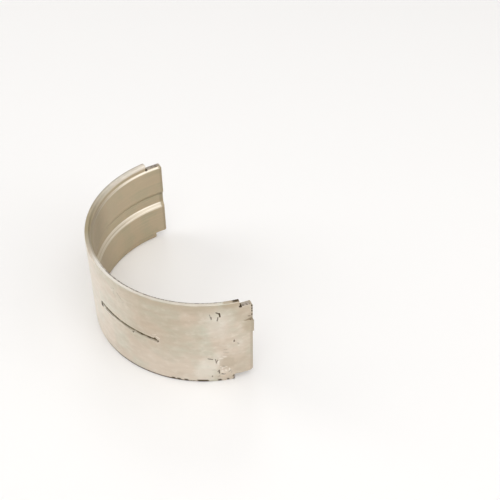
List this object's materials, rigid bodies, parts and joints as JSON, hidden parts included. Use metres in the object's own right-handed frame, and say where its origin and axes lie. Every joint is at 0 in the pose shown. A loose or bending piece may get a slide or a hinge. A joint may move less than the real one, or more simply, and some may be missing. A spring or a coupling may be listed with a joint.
{
  "type": "crankshaft main bearing half shell",
  "caption": "Half-round crankshaft bearing shell with stepped ends, a locating tang, an oil groove round the inside and a long oil slot.",
  "frame": {"origin": "on the bore axis, at mid width", "axes": "+Z along the bore axis, +X out of the open side between the parting faces, crown at -X, locating tang at the -Y end above mid width"},
  "size_m": [0.0318, 0.0658, 0.0286],
  "materials": {
    "tin_flashed_steel": "satin"
  },
  "bodies": {
    "root": {"bearing_shell": "tin_flashed_steel"}
  },
  "joints": []
}
